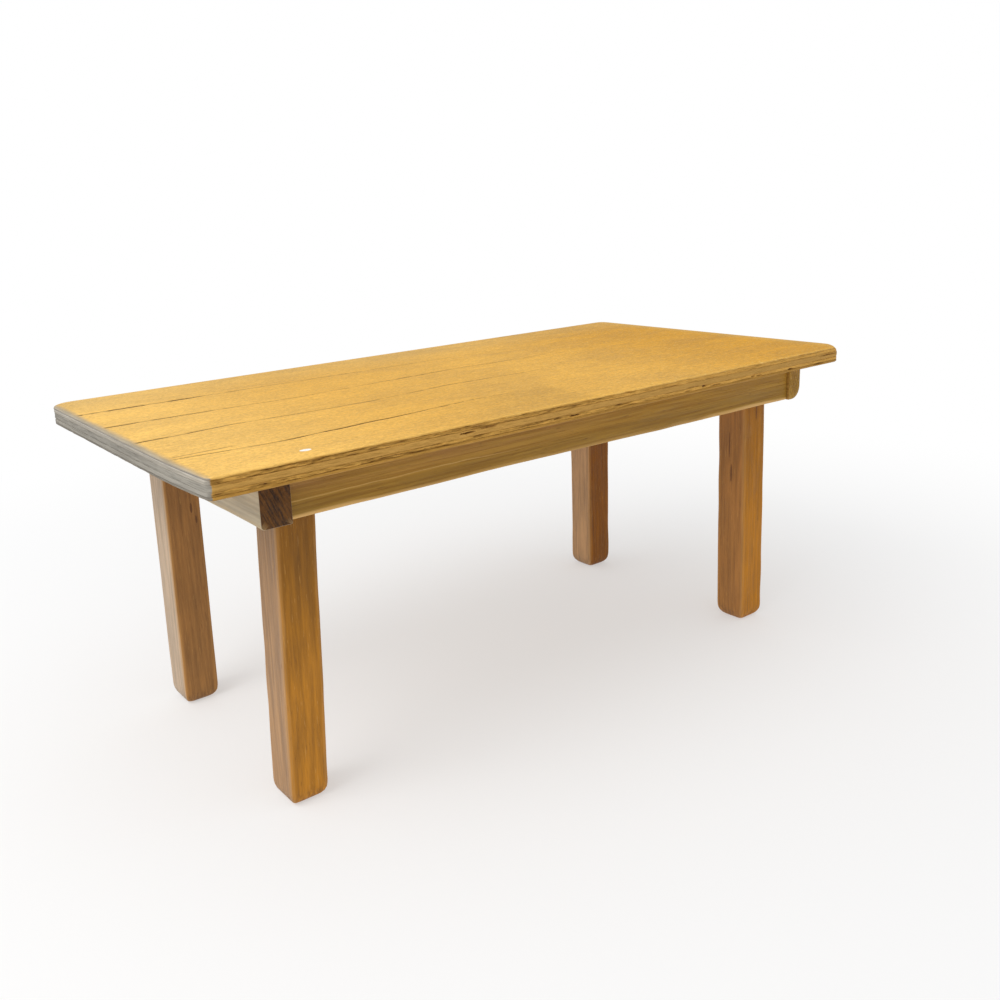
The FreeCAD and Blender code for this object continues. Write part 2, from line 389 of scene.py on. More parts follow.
def wander(line, x):
    """How far a scored line strays at each x: its general run, and the shake of the hand that cut it."""
    at, stray = np.array(SCORE_LINES[line]["strays"], dtype=float).T
    return np.interp(x, at, stray) + 0.22 * noise(31 + line, x / 9) + 0.1 * noise(41 + line, x / 2.6)


def score_strength(line, x):
    """How deep a scored line is at each x, from 0 to 1: uneven, broken, and gone beyond its end."""
    at, strength = np.array(SCORE_LINES[line]["strengths"], dtype=float).T
    starting = smooth_step(x, TABLE_LOW[0] + SCORE_START - 0.8, TABLE_LOW[0] + SCORE_START + 0.6)
    uneven = 1 + 0.35 * noise(51 + line, x / 12)
    broken = 0.4 + 0.6 * smooth_step(noise(61 + line, x / 3.4), -0.8, -0.4)
    return np.clip(starting * np.interp(x, at, strength) * uneven * broken, 0, 1)


def corner_drop(x, edge_x, radius):
    """How far a rounded corner pulls the long edge in at each x."""
    inside = np.clip(radius - np.abs(x - edge_x), 0, radius)
    return radius - np.sqrt(radius**2 - inside**2)


def face_grid(low, high, radii):
    """x and y of a grid that fills the flat of the face, with close rows along each scored line."""
    ends = [low[0] + radius * (1 - np.cos(np.linspace(0, math.pi / 2, 9))) for radius in (radii[0], radii[3])]
    ends.append(high[0] - radii[1] * (1 - np.cos(np.linspace(0, math.pi / 2, 9))))
    span = (low[0] + radii[3], high[0] - radii[1])
    ends.append(np.linspace(*span, int((span[1] - span[0]) / COLUMN_SPACING)))
    x = np.unique(np.round(np.concatenate(ends), 2))
    x[0], x[-1] = low[0], high[0]
    levels = score_levels()
    plain = np.linspace(low[1], high[1], int((high[1] - low[1]) / PLAIN_ROW_SPACING))
    plain = plain[np.min(np.abs(plain[:, None] - levels), axis=1) > SCORE_STRIP]
    close = (levels[:, None] + np.array(SCORE_ROWS)).ravel()
    rows = np.sort(np.concatenate([plain, close]))
    grid_x = np.repeat(x[None], len(rows), axis=0)
    grid_y = np.repeat(rows[:, None], len(x), axis=1)
    depth = np.zeros(grid_x.shape)
    for line, level in enumerate(levels):
        from_line = rows[:, None] - level
        nearness = 1 - smooth_step(np.abs(from_line), SCORE_STRIP, WANDER_REACH)
        grid_y = grid_y + nearness * wander(line, x)
        strength = score_strength(line, x)
        half_width = SCORE_LINES[line]["half_width"] * (0.8 + 0.4 * strength)
        cut = np.clip(1 - np.abs(from_line) / half_width, 0, 1)
        depth = np.maximum(depth, cut * strength)
    front_drop = corner_drop(x, low[0], radii[0]) + corner_drop(x, high[0], radii[1])
    back_drop = corner_drop(x, low[0], radii[3]) + corner_drop(x, high[0], radii[2])
    grid_y = grid_y + front_drop * (1 - smooth_step(grid_y, low[1], low[1] + CORNER_REACH))
    grid_y = grid_y - back_drop * smooth_step(grid_y, high[1] - CORNER_REACH, high[1])
    return grid_x, grid_y, depth


def ways_from_flat(points, low, high, radii):
    """The way out at each point of the flat's outline: square to a side, or away from a corner's centre."""
    ways = np.zeros(points.shape)
    for axis in (0, 1):
        ways[:, axis] = (points[:, axis] > high[axis] - 1e-6) * 1.0 - (points[:, axis] < low[axis] + 1e-6) * 1.0
    corners = ((low[0], low[1]), (high[0], low[1]), (high[0], high[1]), (low[0], high[1]))
    for corner, inward, radius in zip(corners, ((1, 1), (-1, 1), (-1, -1), (1, -1)), radii):
        centre = np.array(corner) + np.array(inward) * radius
        beyond = (points - centre) * -np.array(inward)
        round_part = (beyond > -1e-6).all(axis=1)
        ways[round_part] = points[round_part] - centre
    return ways / np.linalg.norm(ways, axis=1)[:, None]


def make_face_ply(look):
    """The face veneer: a flat with hand-cut lines, a soft arris all round and a ragged lower edge."""
    low, high = box_mm("top_face_ply")
    flat_low, flat_high = low[:2] + TOP_ARRIS, high[:2] - TOP_ARRIS
    flat_radii = [radius - TOP_ARRIS for radius in FACE_RADII]
    x, y, cut = face_grid(flat_low, flat_high, flat_radii)
    swell = 0.03 * (1 + noise(81, x / 45, y / 14))
    from_edge = np.minimum.reduce([x - low[0], high[0] - x, y - low[1], high[1] - y])
    edge_fade = smooth_step(from_edge, 1, 8)
    sanded = 0.5 * sanded_share(x, y) ** 2
    z = high[2] - cut * SCORE_DEPTH - swell * edge_fade - sanded
    flat = np.stack([x, y, z], axis=-1).reshape(-1, 3)
    rows, columns = x.shape
    numbers = np.arange(rows * columns).reshape(rows, columns)
    quads = np.stack([numbers[:-1, :-1], numbers[:-1, 1:], numbers[1:, 1:], numbers[1:, :-1]], axis=-1)
    faces = quads.reshape(-1, 4).tolist()
    rim = np.concatenate([numbers[0, :-1], numbers[:-1, -1], numbers[-1, :0:-1], numbers[:0:-1, 0]])
    rim_points = flat[rim]
    ways = ways_from_flat(rim_points[:, :2], flat_low, flat_high, flat_radii)
    loops, rim_hollow, rim_wear_and_highlight = [], [], []
    around = (rim_points[:, 0] / 7, rim_points[:, 1] / 7)
    worn = 1 + 0.22 * noise(83, *around)
    for angle in np.linspace(0, math.pi / 2, 7)[1:]:
        loop = rim_points.copy()
        loop[:, :2] += ways * TOP_ARRIS * math.sin(angle) - ways * (0.04 * (1 + noise(84, *around)))[:, None]
        drop = TOP_ARRIS * (1 - math.cos(angle)) * worn
        loop[:, 2] -= np.minimum(drop, rim_points[:, 2] - low[2] - 0.08)
        loops.append(loop)
        rim_hollow.append(np.zeros(len(rim)))
        rim_wear_and_highlight.append(np.full(len(rim), math.sin(2 * angle)))
    start = loops[-1][:, 2]
    for share in (0.35, 0.7, 1.0):
        loop = loops[-1].copy()
        loop[:, :2] = rim_points[:, :2] + ways * TOP_ARRIS
        loop[:, 2] = start + (low[2] - start) * share
        ragged = np.clip(noise(85, rim_points[:, 0] / 3, rim_points[:, 1] / 3, loop[:, 2] / 0.5) + 0.1, 0, 1)
        depth = 0.06 + 0.4 * share * ragged * faces_front_or_back(ways)
        loop[:, :2] -= ways * depth[:, None]
        loops.append(loop)
        rim_hollow.append(depth / HOLLOW_RANGE)
        rim_wear_and_highlight.append(np.zeros(len(rim)))
    inner = loops[-1].copy()
    inner[:, :2] -= ways * LEDGE
    loops.append(inner)
    rim_hollow.append(np.zeros(len(rim)))
    rim_wear_and_highlight.append(np.zeros(len(rim)))
    first = len(flat)
    onward = np.roll(rim, -1)
    outer = first + np.arange(len(rim))
    faces += np.stack([rim, onward, np.roll(outer, -1), outer], axis=-1).tolist()
    faces += skin((len(loops), len(rim)), first)
    faces.append(list(range(first + (len(loops) - 1) * len(rim), first + len(loops) * len(rim))))
    marks = {
        "hollow": np.concatenate([cut.ravel()] + rim_hollow),
        "wear_and_highlight": np.concatenate([np.zeros(len(flat))] + rim_wear_and_highlight),
    }
    points = sanded_left_end(np.concatenate([flat] + loops))
    return add_piece("top_face_ply", points, faces, marks, look)


# ------------------------------------------------------------------------------------------------------------
# Bars: aprons and legs
# ------------------------------------------------------------------------------------------------------------

SIDE_SHARES = np.array((0.05, 0.14, 0.3, 0.5, 0.7, 0.86, 0.95))
STATION_SPACING = 2.5
END_STEPS = 7
WAVE_DEPTH = 0.1
END_CAP = 1.2
# How far an arris's radius changes along a bar, and the share of a side that its two roundings may take.
ARRIS_WOBBLE = 0.3
MOST_ROUND = 0.95


def fitted_radii(radii, size):
    """The radii of a section's corners, made smaller where two of them would meet on one side."""
    neighbours = [radii[corner] + radii[(corner + 1) % 4] for corner in range(4)]
    crowding = max(max(neighbours) / (MOST_ROUND * min(size)), 1)
    return [radius / crowding for radius in radii]


def make_bar(node, look, along, radii, ends, seed, lean=(0.0, 0.0), deepening=0.0):
    """A rounded bar that fills a CAD node's box along one axis.

    radii are those of the four long arrises, in the order of rounded_outline for the other two axes.
    ends says how the low and the high end are rounded: for how long, and how far in. lean is how far the
    low end of an upright bar stands from under its high end, along X and Y. deepening is how far the lower
    side of a level bar comes down at the right end of the table.
    """
    low, high = box_mm(node)
    low[:2] -= np.minimum(lean, 0)
    high[:2] -= np.maximum(lean, 0)
    across = [axis for axis in range(3) if axis != along]
    turns = np.linspace(0, math.pi / 2, END_STEPS)
    count = int((high[along] - low[along]) / STATION_SPACING)
    (low_reach, low_inset), (high_reach, high_inset) = ends
    places = np.concatenate(
        [
            low[along] + low_reach * (1 - np.cos(turns)),
            np.linspace(low[along] + low_reach, high[along] - high_reach, count)[1:-1],
            high[along] - high_reach * (1 - np.cos(turns[::-1])),
        ]
    )
    insets = np.concatenate(
        [low_inset * (1 - np.sin(turns)), np.zeros(count - 2), high_inset * (1 - np.sin(turns[::-1]))]
    )
    places = np.concatenate([places[:1], places, places[-1:]])
    insets = np.concatenate([insets[:1] + END_CAP, insets, insets[-1:] + END_CAP])
    loops, wear_and_highlight = [], []
    for number, (place, inset) in enumerate(zip(places, insets)):
        wobble = [ARRIS_WOBBLE * float(noise(seed + corner, place / 11)) for corner in range(4)]
        worn = [
            max(radius + change * min(radius, 1) - inset, 0.05 + 0.8 * inset)
            for radius, change in zip(radii, wobble)
        ]
        inner_low, inner_high = low[across] + inset, high[across] - inset
        worn = fitted_radii(worn, inner_high - inner_low)
        outline, ways = rounded_outline(inner_low, inner_high, worn, SIDE_SHARES, SIDE_SHARES, 6)
        loop = np.empty((len(outline), 3))
        loop[:, along] = place
        loop[:, across] = outline
        wave = noise(seed + 5, *(loop / 22).T) + 0.4 * noise(seed + 6, *(loop / 6).T)
        loop[:, across] -= ways * (WAVE_DEPTH * np.clip(0.5 + 0.5 * wave, 0, 1))[:, None]
        loops.append(loop)
        arris = np.tile(np.concatenate([np.ones(6), np.zeros(len(SIDE_SHARES))]), 4)
        on_cap = number in (0, len(places) - 1)
        wear_and_highlight.append(arris * (0 if on_cap else 1))
    points = np.array(loops)
    rise = (points[..., 2:] - low[2]) / (high[2] - low[2])
    points[..., :2] += np.array(lean) * (1 - rise)
    points[..., 2] -= deepening * smooth_step(points[..., 0], *DEEPENING_SPAN) * (1 - rise[..., 0])
    faces = skin(points.shape[:2])
    length = points.shape[1]
    faces.append(list(range(length)))
    faces.append(list(range((len(points) - 1) * length, len(points) * length)))
    marks = {"hollow": np.zeros(len(points) * length), "wear_and_highlight": np.concatenate(wear_and_highlight)}
    return add_piece(node, points.reshape(-1, 3), faces, marks, look)


# ------------------------------------------------------------------------------------------------------------
# Looks
# ------------------------------------------------------------------------------------------------------------


def shade(red, green, blue):
    """A colour given as three screen numbers from 0 to 255, made linear."""
    return (*[((value / 255 + 0.055) / 1.055) ** 2.4 for value in (red, green, blue)], 1.0)


def dimmed(colour, share):
    return (*[part * share for part in colour[:3]], 1.0)


class Tree:
    """Builds a node tree step by step. Every method adds what it needs and returns the last output."""

    def __init__(self, tree):
        self.tree = tree
        tree.nodes.clear()

    def add(self, kind, **settings):
        node = self.tree.nodes.new(kind)
        for name, value in settings.items():
            setattr(node, name, value)
        return node

    def feed(self, socket, value):
        """Sets a socket to a plain value, or links another node's output to it."""
        if isinstance(value, bpy.types.NodeSocket):
            self.tree.links.new(value, socket)
        else:
            socket.default_value = value

    def split(self, vector):
        node = self.add("ShaderNodeSeparateXYZ")
        self.feed(node.inputs[0], vector)
        return node.outputs

    def maths(self, operation, first, second=0.0):
        node = self.add("ShaderNodeMath", operation=operation)
        self.feed(node.inputs[0], first)
        self.feed(node.inputs[1], second)
        return node.outputs[0]

    def times(self, first, *others):
        for other in others:
            first = self.maths("MULTIPLY", first, other)
        return first

    def plus(self, first, *others):
        for other in others:
            first = self.maths("ADD", first, other)
        return first

    def inverse(self, value):
        return self.maths("SUBTRACT", 1.0, value)

    def step(self, value, start, end):
        """0 at start and 1 at end, eased, and flat beyond them."""
        node = self.add("ShaderNodeMapRange", interpolation_type="SMOOTHSTEP")
        self.feed(node.inputs["Value"], value)
        self.feed(node.inputs["From Min"], min(start, end))
        self.feed(node.inputs["From Max"], max(start, end))
        rising = node.outputs["Result"]
        return rising if start < end else self.inverse(rising)

    def span(self, value, low, high):
        """Turns a value of 0 to 1 into one from low to high."""
        return self.plus(self.times(value, high - low), low)

    def blend(self, amount, first, second):
        node = self.add("ShaderNodeMix", data_type="RGBA")
        self.feed(node.inputs["Factor"], amount)
        self.feed(node.inputs[6], first)
        self.feed(node.inputs[7], second)
        return node.outputs[2]


class Look(Tree):
    """A wood material whose patterns are laid out in millimetres of the table."""

    def __init__(self, name):
        self.material = bpy.data.materials.new(name)
        self.material.use_nodes = True
        super().__init__(self.material.node_tree)
        coords = self.add("ShaderNodeTexCoord").outputs
        self.place = self.stretched(coords["Object"], (MM, MM, MM))
        self.x, self.y, self.z = self.split(self.place)
        self.facing_x, self.facing_y, self.facing_z = self.split(coords["Normal"])

    def stretched(self, vector, lengths):
        """A vector in units of the given lengths along x, y and z."""
        node = self.add("ShaderNodeVectorMath", operation="DIVIDE")
        self.feed(node.inputs[0], vector)
        self.feed(node.inputs[1], lengths)
        return node.outputs[0]

    def mark(self, name):
        """A number that the mesh holds for each of its points."""
        return self.add("ShaderNodeAttribute", attribute_name=name).outputs["Fac"]

    def tilted(self, degrees):
        """The place in millimetres, turned about Y, for grain that runs aslant."""
        node = self.add("ShaderNodeVectorRotate", rotation_type="Y_AXIS")
        self.feed(node.inputs["Vector"], self.place)
        self.feed(node.inputs["Angle"], math.radians(degrees))
        return node.outputs[0]

    def noise(self, lengths, seed, detail=3.0, warp=0.0, place=None):
        """Noise of 0 to 1, mostly near 0.5, whose grains have the given lengths in millimetres."""
        node = self.add("ShaderNodeTexNoise", noise_dimensions="4D")
        self.feed(node.inputs["Vector"], self.stretched(place or self.place, lengths))
        self.feed(node.inputs["W"], float(seed))
        self.feed(node.inputs["Scale"], 1.0)
        self.feed(node.inputs["Detail"], detail)
        self.feed(node.inputs["Roughness"], 0.6)
        self.feed(node.inputs["Distortion"], warp)
        return node.outputs["Fac"]

    def patches(self, lengths, seed, detail=3.0, warp=0.0):
        """Noise spread out to run from 0 to 1."""
        return self.step(self.noise(lengths, seed, detail, warp), 0.3, 0.7)

    def brighten(self, colour, amount, low=None, high=None):
        """Multiplies a colour by a number, or by a value of 0 to 1 made to run from low to high."""
        node = self.add("ShaderNodeVectorMath", operation="SCALE")
        self.feed(node.inputs[0], colour)
        self.feed(node.inputs["Scale"], amount if low is None else self.span(amount, low, high))
        return node.outputs[0]

    def spot(self, place, radii, seed):
        """1 inside a ragged oval mark round a place, 0 outside it. A radius of None lets it run on that way."""
        away = self.times(self.noise((1.2, 1.2, 1.2), seed), 1.2)
        for axis, centre, radius in zip((self.x, self.y, self.z), place, radii):
            if radius is not None:
                share = self.times(self.plus(axis, -centre), 1 / radius)
                away = self.plus(away, self.times(share, share))
        return self.step(away, 1.8, 1.3)

    def finish(self, colour, roughness, height, gloss=0.3):
        """Ends the tree with a wood surface. height is in millimetres."""
        shader = self.add("ShaderNodeBsdfPrincipled")
        self.feed(shader.inputs["Base Color"], colour)
        self.feed(shader.inputs["Roughness"], roughness)
        self.feed(shader.inputs["Specular IOR Level"], gloss)
        relief = self.add("ShaderNodeBump")
        self.feed(relief.inputs["Distance"], MM)
        self.feed(relief.inputs["Height"], height)
        self.feed(shader.inputs["Normal"], relief.outputs[0])
        output = self.add("ShaderNodeOutputMaterial")
        self.feed(output.inputs["Surface"], shader.outputs[0])
        return self.material


# How far to the left the wood must face before it starts, and before it has finished, turning grey.
GREY_STARTS = -0.32
GREY_FULL = -0.46


def stained_face_look():
    """The golden face: lighter at the left, partly painted light, figured at the right, dark in the cuts, grey
    along the left arris.
    """
    look = Look("stained_face_wood")
    # Partly painted light: the face is lighter at the left and darker at the right, as light falls from the left,
    # over the wood's own warmer right half.
    colour = look.blend(look.step(look.x, -155, -50), shade(247, 198, 104), shade(231, 177, 76))
    colour = look.blend(look.step(look.x, 20, 130), colour, shade(220, 160, 42))
    colour = look.blend(look.times(look.step(look.y, 35, 75), 0.4), colour, shade(216, 180, 112))
    streaks = look.patches((9, 0.9, 3), 1, detail=5)
    speckle = look.patches((1.2, 0.9, 3), 2)
    clouds = look.patches((45, 18, 10), 3, warp=0.6)
    colour = look.brighten(colour, streaks, 0.92, 1.07)
    colour = look.brighten(colour, speckle, 0.87, 1.13)
    colour = look.brighten(colour, clouds, 0.93, 1.06)
    figure = look.patches((11, 3.5, 6), 4, detail=3, warp=2.2)
    figured = look.step(look.x, -20, 60)
    colour = look.brighten(colour, look.plus(1.0, look.times(look.plus(figure, -0.5), figured, 0.14)))
    flecks = look.step(look.noise((2.2, 0.6, 1), 5, detail=2), 0.58, 0.7)
    colour = look.blend(look.times(flecks, look.span(figured, 0.4, 0.7)), colour, shade(255, 224, 140))
    pores = look.step(look.noise((2.2, 0.5, 1), 6, detail=1), 0.4, 0.28)
    colour = look.blend(look.times(pores, 0.4), colour, shade(164, 106, 34))

    wedge_edge = look.plus(look.x, look.times(look.noise((8, 10, 10), 7), 8.0))
    wedge = look.times(look.step(wedge_edge, 4.5, 2.5), look.step(look.x, -70, -10))
    wedge = look.times(wedge, look.step(look.y, -44, -48))
    colour = look.brighten(colour, wedge, 1.0, 0.9)
    scratch_level = look.plus(look.y, look.times(look.noise((12, 12, 12), 8), 2.0))
    scratch = look.step(look.maths("ABSOLUTE", look.plus(scratch_level, 44.4)), 0.7, 0.25)
    scratch = look.times(scratch, look.step(look.x, -125, -131), look.step(look.x, -149, -147))
    colour = look.blend(look.times(scratch, 0.5), colour, shade(120, 78, 22))
    right_edge = look.step(look.plus(look.x, look.times(look.noise((4, 20, 5), 9), 4.0)), 143, 153)
    colour = look.blend(look.times(right_edge, 0.5), colour, shade(224, 184, 104))

    cuts = look.mark("hollow")
    in_cut = look.maths("MINIMUM", look.times(cuts, 2.2), 1.0)
    colour = look.blend(in_cut, colour, shade(60, 32, 6))
    rough_side = look.patches((3.5, 3.5, 0.5), 10, detail=4)
    side_tone = look.blend(rough_side, shade(184, 132, 50), shade(240, 194, 104))
    side_tone = look.blend(look.step(cuts, 0.15, 0.6), side_tone, shade(84, 52, 12))
    colour = look.blend(look.step(look.facing_z, 0.6, 0.2), colour, side_tone)
    # Pale along the rounded arris: wear with a painted highlight.
    worn = look.times(look.mark("wear_and_highlight"), look.step(look.x, -149, -146), 0.5)
    colour = look.blend(worn, colour, shade(246, 198, 108))
    grey_reach = look.plus(look.x, look.times(look.noise((3, 9, 3), 11), 1.4))
    arris_grey = look.blend(look.step(look.z, 126.9, 126.4), shade(172, 160, 138), shade(134, 126, 116))
    grey_streaks = look.patches((2, 14, 0.4), 12, detail=4)
    arris_grey = look.brighten(arris_grey, grey_streaks, 0.85, 1.12)
    colour = look.blend(look.step(grey_reach, -146.6, -150.1), colour, arris_grey)
    faces_left = look.step(look.facing_x, GREY_STARTS, GREY_FULL)
    round_corner = look.times(faces_left, look.step(look.facing_z, 0.8, 0.4))
    colour = look.blend(look.times(round_corner, look.step(look.x, -140, -144)), colour, arris_grey)
    colour = look.blend(look.spot((-114.5, -66.5, 127), (1.9, 1.3, None), 13), colour, shade(252, 250, 244))

    height = look.plus(look.times(streaks, 0.12), look.times(speckle, 0.06), look.times(pores, -0.03))
    return look.finish(colour, look.span(clouds, 0.42, 0.55), height, gloss=0.2)


def ply_edge_look(node, light, dark, grey, seed, contrast, right_share=1.0, pale_line=0.0):
    """The edge of a veneer: light where it stands proud, dark in its hollows, grey on the left end.

    right_share is how bright its right half is against the left. pale_line is how strong the thin light line is
    that runs along the top of its left end: a painted highlight where light catches that edge.
    """
    look = Look(node + "_edge")
    low, high = box_mm(node)
    hollow = look.mark("hollow")
    fibres = look.patches((4, 4, 0.3), seed, detail=5)
    blotches = look.patches((14, 14, 1.0), seed + 1)
    tone = look.plus(look.times(hollow, contrast), look.times(fibres, 0.5), look.times(blotches, 0.3), -0.35)
    rightward = look.step(look.x, -60, 80)
    tone = look.times(tone, look.span(rightward, 1.0, 0.6))
    colour = look.brighten(look.blend(tone, light, dark), rightward, 1.0, right_share)
    colour = look.blend(look.step(hollow, 0.75, 1.0), colour, shade(88, 48, 22))
    long_streaks = look.patches((2, 16, 0.35), seed + 2, detail=4)
    short_streaks = look.patches((2, 5, 0.25), seed + 4, detail=3)
    grey_tone = look.plus(look.times(hollow, 0.8), look.times(long_streaks, 0.6), look.times(short_streaks, 0.3))
    greys = look.blend(look.plus(grey_tone, -0.35), dimmed(grey, 1.25), dimmed(grey, 0.42))
    if pale_line:
        # Painted highlight: a thin pale line along the top of the left end, where light catches it.
        uppermost = look.step(look.z, high[2] - 0.4, high[2] - 0.15)
        top_line_highlight = look.times(uppermost, look.span(short_streaks, 1.0, 0.4), pale_line)
        greys = look.blend(top_line_highlight, greys, shade(206, 200, 188))
    greys = look.brighten(greys, look.step(look.y, -70, -10), 1.08, 0.92)
    faces_left = look.step(look.facing_x, GREY_STARTS, GREY_FULL)
    at_left_end = look.step(look.x, -147.9, -148.9)
    colour = look.blend(look.maths("MAXIMUM", faces_left, at_left_end), colour, greys)
    grain = look.patches((30, 0.8, 3), seed + 3, detail=5)
    under = look.step(look.facing_z, -0.5, -0.9)
    colour = look.blend(under, colour, look.blend(grain, shade(176, 132, 74), shade(206, 162, 100)))
    height = look.plus(look.times(fibres, 0.06), look.times(grain, under, 0.05))
    return look.finish(colour, look.span(fibres, 0.6, 0.78), height, gloss=0.15)


def long_apron_look():
    """Olive-brown pine with long grain, a pale line along it and pale arrises: wear with a painted reflection of
    the floor's light.
    """
    look = Look("long_apron_pine")
    low, high = box_mm("apron_front")
    grain = look.patches((45, 3, 0.9), 20, detail=5, warp=0.3)
    clouds = look.patches((26, 10, 4), 21, warp=0.6)
    colour = look.blend(grain, shade(154, 110, 28), shade(184, 140, 50))
    colour = look.brighten(colour, look.step(look.x, -90, -125), 1.0, 0.86)
    purple = look.times(clouds, look.step(look.x, 40, -30), look.step(look.z, low[2] + 5, low[2] + 11))
    colour = look.blend(look.times(purple, 0.6), colour, shade(162, 120, 74))
    line_level = look.plus(look.z, look.times(look.noise((60, 60, 60), 22), 5.0), -low[2] - 8.6)
    fine_line = look.step(look.maths("ABSOLUTE", line_level), 0.35, 0.05)
    colour = look.blend(look.times(fine_line, look.step(look.x, 0, -60), 0.6), colour, shade(214, 172, 98))
    colour = look.brighten(colour, look.step(line_level, 0.3, -1.5), 1.0, 0.84)
    colour = look.brighten(colour, clouds, 0.92, 1.06)
    dashes = look.step(look.noise((7, 3, 0.4), 23), 0.38, 0.28)
    colour = look.blend(look.times(dashes, 0.6), colour, shade(96, 60, 20))
    # Painted reflection and wear: the pale rounded arrises, strongest near the ends, stand for light caught from
    # the floor as well as wear.
    near_ends = look.step(look.maths("ABSOLUTE", look.x), 40, 110)
    wear_and_highlight = look.times(look.mark("wear_and_highlight"), look.span(near_ends, 0.3, 0.8))
    colour = look.blend(wear_and_highlight, colour, shade(226, 180, 108))
    height = look.plus(look.times(grain, 0.1), look.times(dashes, -0.05))
    return look.finish(colour, look.span(clouds, 0.48, 0.62), height)


END_GRAIN_TILT = 24.0


def end_apron_look(name, face_tones, end_tones, seed):
    """Long grain on the faces and slanting streaks on the two ends of grain."""
    look = Look(name)
    grain = look.patches((3, 40, 1.2), seed, detail=5, warp=0.3)
    clouds = look.patches((8, 18, 5), seed + 1, warp=0.8)
    colour = look.brighten(look.blend(grain, *face_tones), clouds, 0.9, 1.06)
    ends = look.step(look.maths("ABSOLUTE", look.facing_y), 0.55, 0.85)
    aslant = look.noise((0.9, 20, 8), seed + 2, warp=0.5, place=look.tilted(END_GRAIN_TILT))
    streaks = look.step(aslant, 0.35, 0.65)
    speckle = look.patches((0.5, 3, 1.4), seed + 3, detail=4)
    end_tone = look.plus(look.times(streaks, 0.75), look.times(speckle, 0.25))
    colour = look.blend(ends, colour, look.blend(end_tone, *end_tones))
    # Pale lower arrises: wear with a painted highlight from the light they catch from below.
    low_wear_and_highlight = look.times(look.mark("wear_and_highlight"), look.step(look.z, 112, 107))
    colour = look.blend(look.times(low_wear_and_highlight, 0.3), colour, shade(206, 172, 118))
    height = look.plus(look.times(grain, 0.08), look.times(speckle, ends, 0.12))
    return look.finish(colour, look.span(clouds, 0.5, 0.65), height)


def leg_look(node, tones, top_share, marks, seed):
    """Reddish leg wood with upright grain: one tone for the left face, paler with painted light and sheen from
    the left, another for the rest, dark at the foot.

    top_share is how bright the upper end is against the middle: painted shade under the table top. marks are the
    middles and radii of dark marks.
    """
    look = Look(node + "_wood")
    left_tone, tone = tones
    grain = look.patches((1.3, 1.3, 30), seed, detail=5)
    fine = look.noise((0.4, 0.4, 5), seed + 1)
    clouds = look.patches((9, 9, 26), seed + 2, warp=0.5)
    # Painted shade: the legs darken towards their upper ends, where the table top shades them.
    upper = look.step(look.z, 35, 95)
    front = look.brighten(tone[:3], upper, 1.0, top_share)
    # Painted light: the left face gets a paler tone for the light and sheen falling on it from the left.
    left = look.brighten(left_tone[:3], upper, 1.0, (1 + top_share) / 2)
    colour = look.blend(look.step(look.facing_x, -0.5, -0.85), front, left)
    colour = look.brighten(colour, grain, 0.76, 1.16)
    colour = look.brighten(colour, clouds, 0.88, 1.08)
    dashes = look.times(look.step(fine, 0.42, 0.28), look.inverse(clouds))
    colour = look.blend(look.times(dashes, 0.6), colour, shade(90, 52, 18))
    flecks = look.step(look.noise((0.5, 0.5, 7), seed + 3), 0.6, 0.7)
    colour = look.blend(look.times(flecks, 0.35), colour, shade(216, 164, 92))
    foot = look.step(look.plus(look.z, look.times(grain, 5.0)), 9, 2)
    colour = look.brighten(colour, foot, 1.0, 0.8)
    colour = look.blend(look.times(look.mark("wear_and_highlight"), 0.3), colour, shade(206, 154, 90))
    for number, (place, radii) in enumerate(marks):
        colour = look.blend(look.times(look.spot(place, radii, seed + number), 0.65), colour, shade(74, 40, 20))
    height = look.plus(look.times(grain, 0.12), look.times(fine, 0.06))
    return look.finish(colour, look.span(clouds, 0.45, 0.6), height, gloss=0.25)


# ------------------------------------------------------------------------------------------------------------
# The pieces
# ------------------------------------------------------------------------------------------------------------


def make_top():
    make_face_ply(stained_face_look())
    cross_tones = (shade(224, 172, 84), shade(92, 56, 10))
    core_tones = (shade(208, 160, 82), shade(120, 80, 26))
    back_tones = (shade(192, 144, 66), shade(106, 68, 18))
    upper = ply_edge_look("top_upper_crossband", *cross_tones, shade(158, 151, 139), 30, 0.9, pale_line=0.85)
    core = ply_edge_look("top_core_ply", *core_tones, shade(142, 137, 127), 40, 0.8, right_share=0.86)
    lower = ply_edge_look("top_lower_crossband", *cross_tones, shade(144, 139, 129), 50, 0.9)
    back = ply_edge_look("top_back_ply", *back_tones, shade(126, 120, 110), 60, 0.8, right_share=0.86)
    make_ply("top_upper_crossband", upper, True, 11)
    make_ply("top_core_ply", core, False, 12)
    make_ply("top_lower_crossband", lower, True, 13)
    make_ply("top_back_ply", back, False, 14)


def make_aprons():
    cut_ends = (CUT_END, CUT_END)
    sharp = SHARP_ARRIS
    pine = long_apron_look()
    front_arrises = (1.0, sharp, sharp, sharp)
    make_bar("apron_front", pine, 0, front_arrises, cut_ends, 100, deepening=APRON_DEEPENING)
    make_bar("apron_back", pine, 0, (sharp, 1.0, sharp, sharp), cut_ends, 110)
    cream = (shade(172, 158, 132), shade(200, 186, 158))
    olive = (shade(146, 104, 40), shade(182, 142, 68))
    left_look = end_apron_look("left_apron_wood", cream, (shade(36, 16, 0), shade(116, 72, 12)), 70)
    right_look = end_apron_look("right_apron_wood", olive, (shade(138, 98, 22), shade(186, 142, 50)), 80)
    make_bar("apron_left", left_look, 1, (WORN_ARRIS, sharp, sharp, sharp), cut_ends, 120)
    right_arrises = (sharp, RIGHT_APRON_ARRIS, 1.0, sharp)
    make_bar(
        "apron_right", right_look, 1, right_arrises, cut_ends, 130, deepening=APRON_DEEPENING
    )


